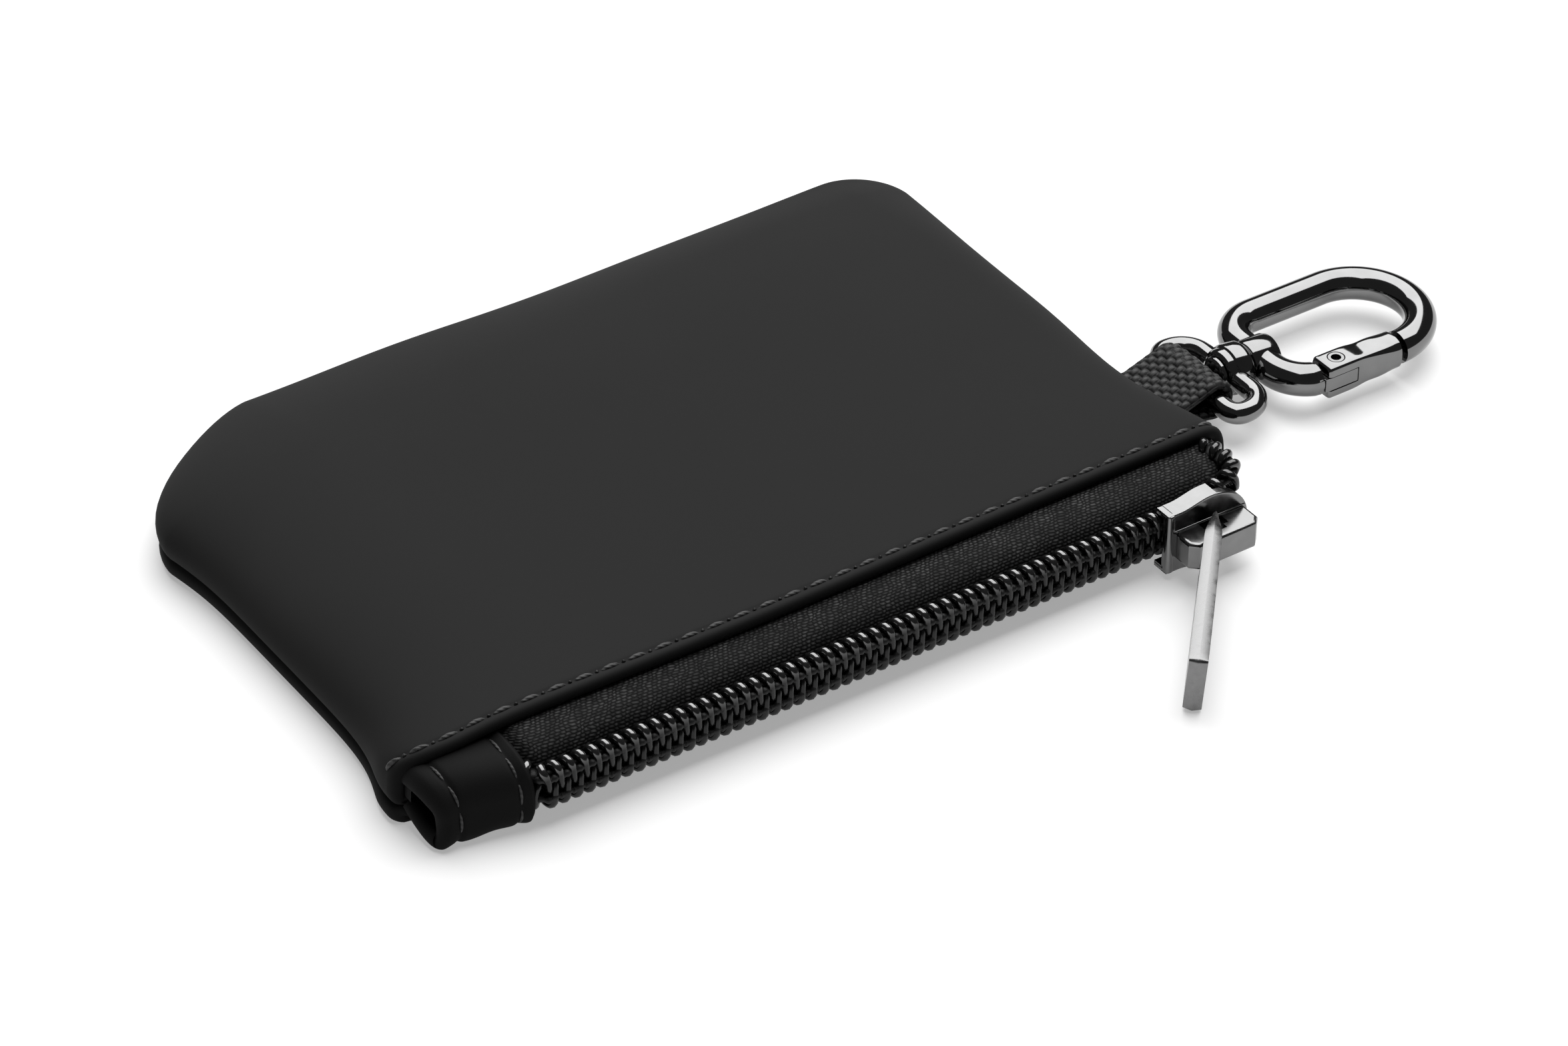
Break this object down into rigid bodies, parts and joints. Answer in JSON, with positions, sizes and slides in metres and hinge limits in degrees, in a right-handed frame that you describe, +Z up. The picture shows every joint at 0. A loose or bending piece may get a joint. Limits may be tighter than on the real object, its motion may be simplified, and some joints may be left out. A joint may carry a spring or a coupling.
{
  "type": "zipped key case",
  "caption": "Flat soft zipped key case lying down, with a webbing loop, swivel ring and spring-gate clip at one side and a swinging zip pull.",
  "frame": {"origin": "on the floor, under the middle of the two pouch panels", "axes": "+X along the zip towards the clip, +Y from the zip to the back edge, +Z up"},
  "size_m": [0.1421, 0.0966, 0.0112],
  "materials": {
    "pouch_skin": "matte soft-touch coated",
    "lining": "plain woven",
    "zip_tape": "herringbone woven",
    "zip_coil": "satin nylon filament",
    "core_cord": "twisted yarn",
    "webbing": "coarse plain-woven webbing",
    "slider_metal": "nickel plated",
    "pull_metal": "satin nickel plated",
    "clip_metal": "gunmetal plated",
    "spring_steel": "bare spring steel"
  },
  "bodies": {
    "pouch": {"top_panel": "pouch_skin", "bottom_panel": "pouch_skin", "top_lining": "lining", "bottom_lining": "lining", "upper_zip_tape": "zip_tape", "lower_zip_tape": "zip_tape", "upper_coil": "zip_coil", "lower_coil": "zip_coil", "upper_core_cord": "core_cord", "lower_core_cord": "core_cord", "zip_end_tab": "pouch_skin", "webbing_loop": "webbing"},
    "slider": {"slider_body": "slider_metal", "slider_bridge": "slider_metal", "lock_pawl": "spring_steel"},
    "puller": {"pull_tab": "pull_metal"},
    "ring": {"swivel_ring": "clip_metal"},
    "hook": {"hook_body": "clip_metal", "swivel_post": "clip_metal", "gate_pin": "clip_metal"},
    "hook_gate": {"gate": "clip_metal", "gate_spring": "spring_steel"}
  },
  "joints": [
    {"name": "slider_slide", "type": "slide", "parent": "pouch", "child": "slider", "axis": [1, 0, 0], "range_m": [-0.077, 0], "deforming": ["upper_coil", "lower_coil", "upper_zip_tape", "lower_zip_tape"]},
    {"name": "puller_swing", "type": "hinge", "parent": "slider", "child": "puller", "pos_m": [0.0412, -0.04515, 0.0049], "axis": [0, 0, 1], "range_deg": [-44, 125]},
    {"name": "ring_tilt", "type": "hinge", "parent": "pouch", "child": "ring", "pos_m": [0.0573, -0.0206, 0.004], "axis": [0, -1, 0], "range_deg": [-100, 110]},
    {"name": "hook_swivel", "type": "hinge", "parent": "ring", "child": "hook", "pos_m": [0.0634, -0.0206, 0.004], "axis": [1, 0, 0], "continuous": true},
    {"name": "gate_hinge", "type": "hinge", "parent": "hook", "child": "hook_gate", "pos_m": [0.07185, -0.0277, 0.004], "axis": [0, 0, 1], "range_deg": [0, 40], "stiffness_Nm_per_rad": 0.012, "springref_deg": -20.05}
  ]
}
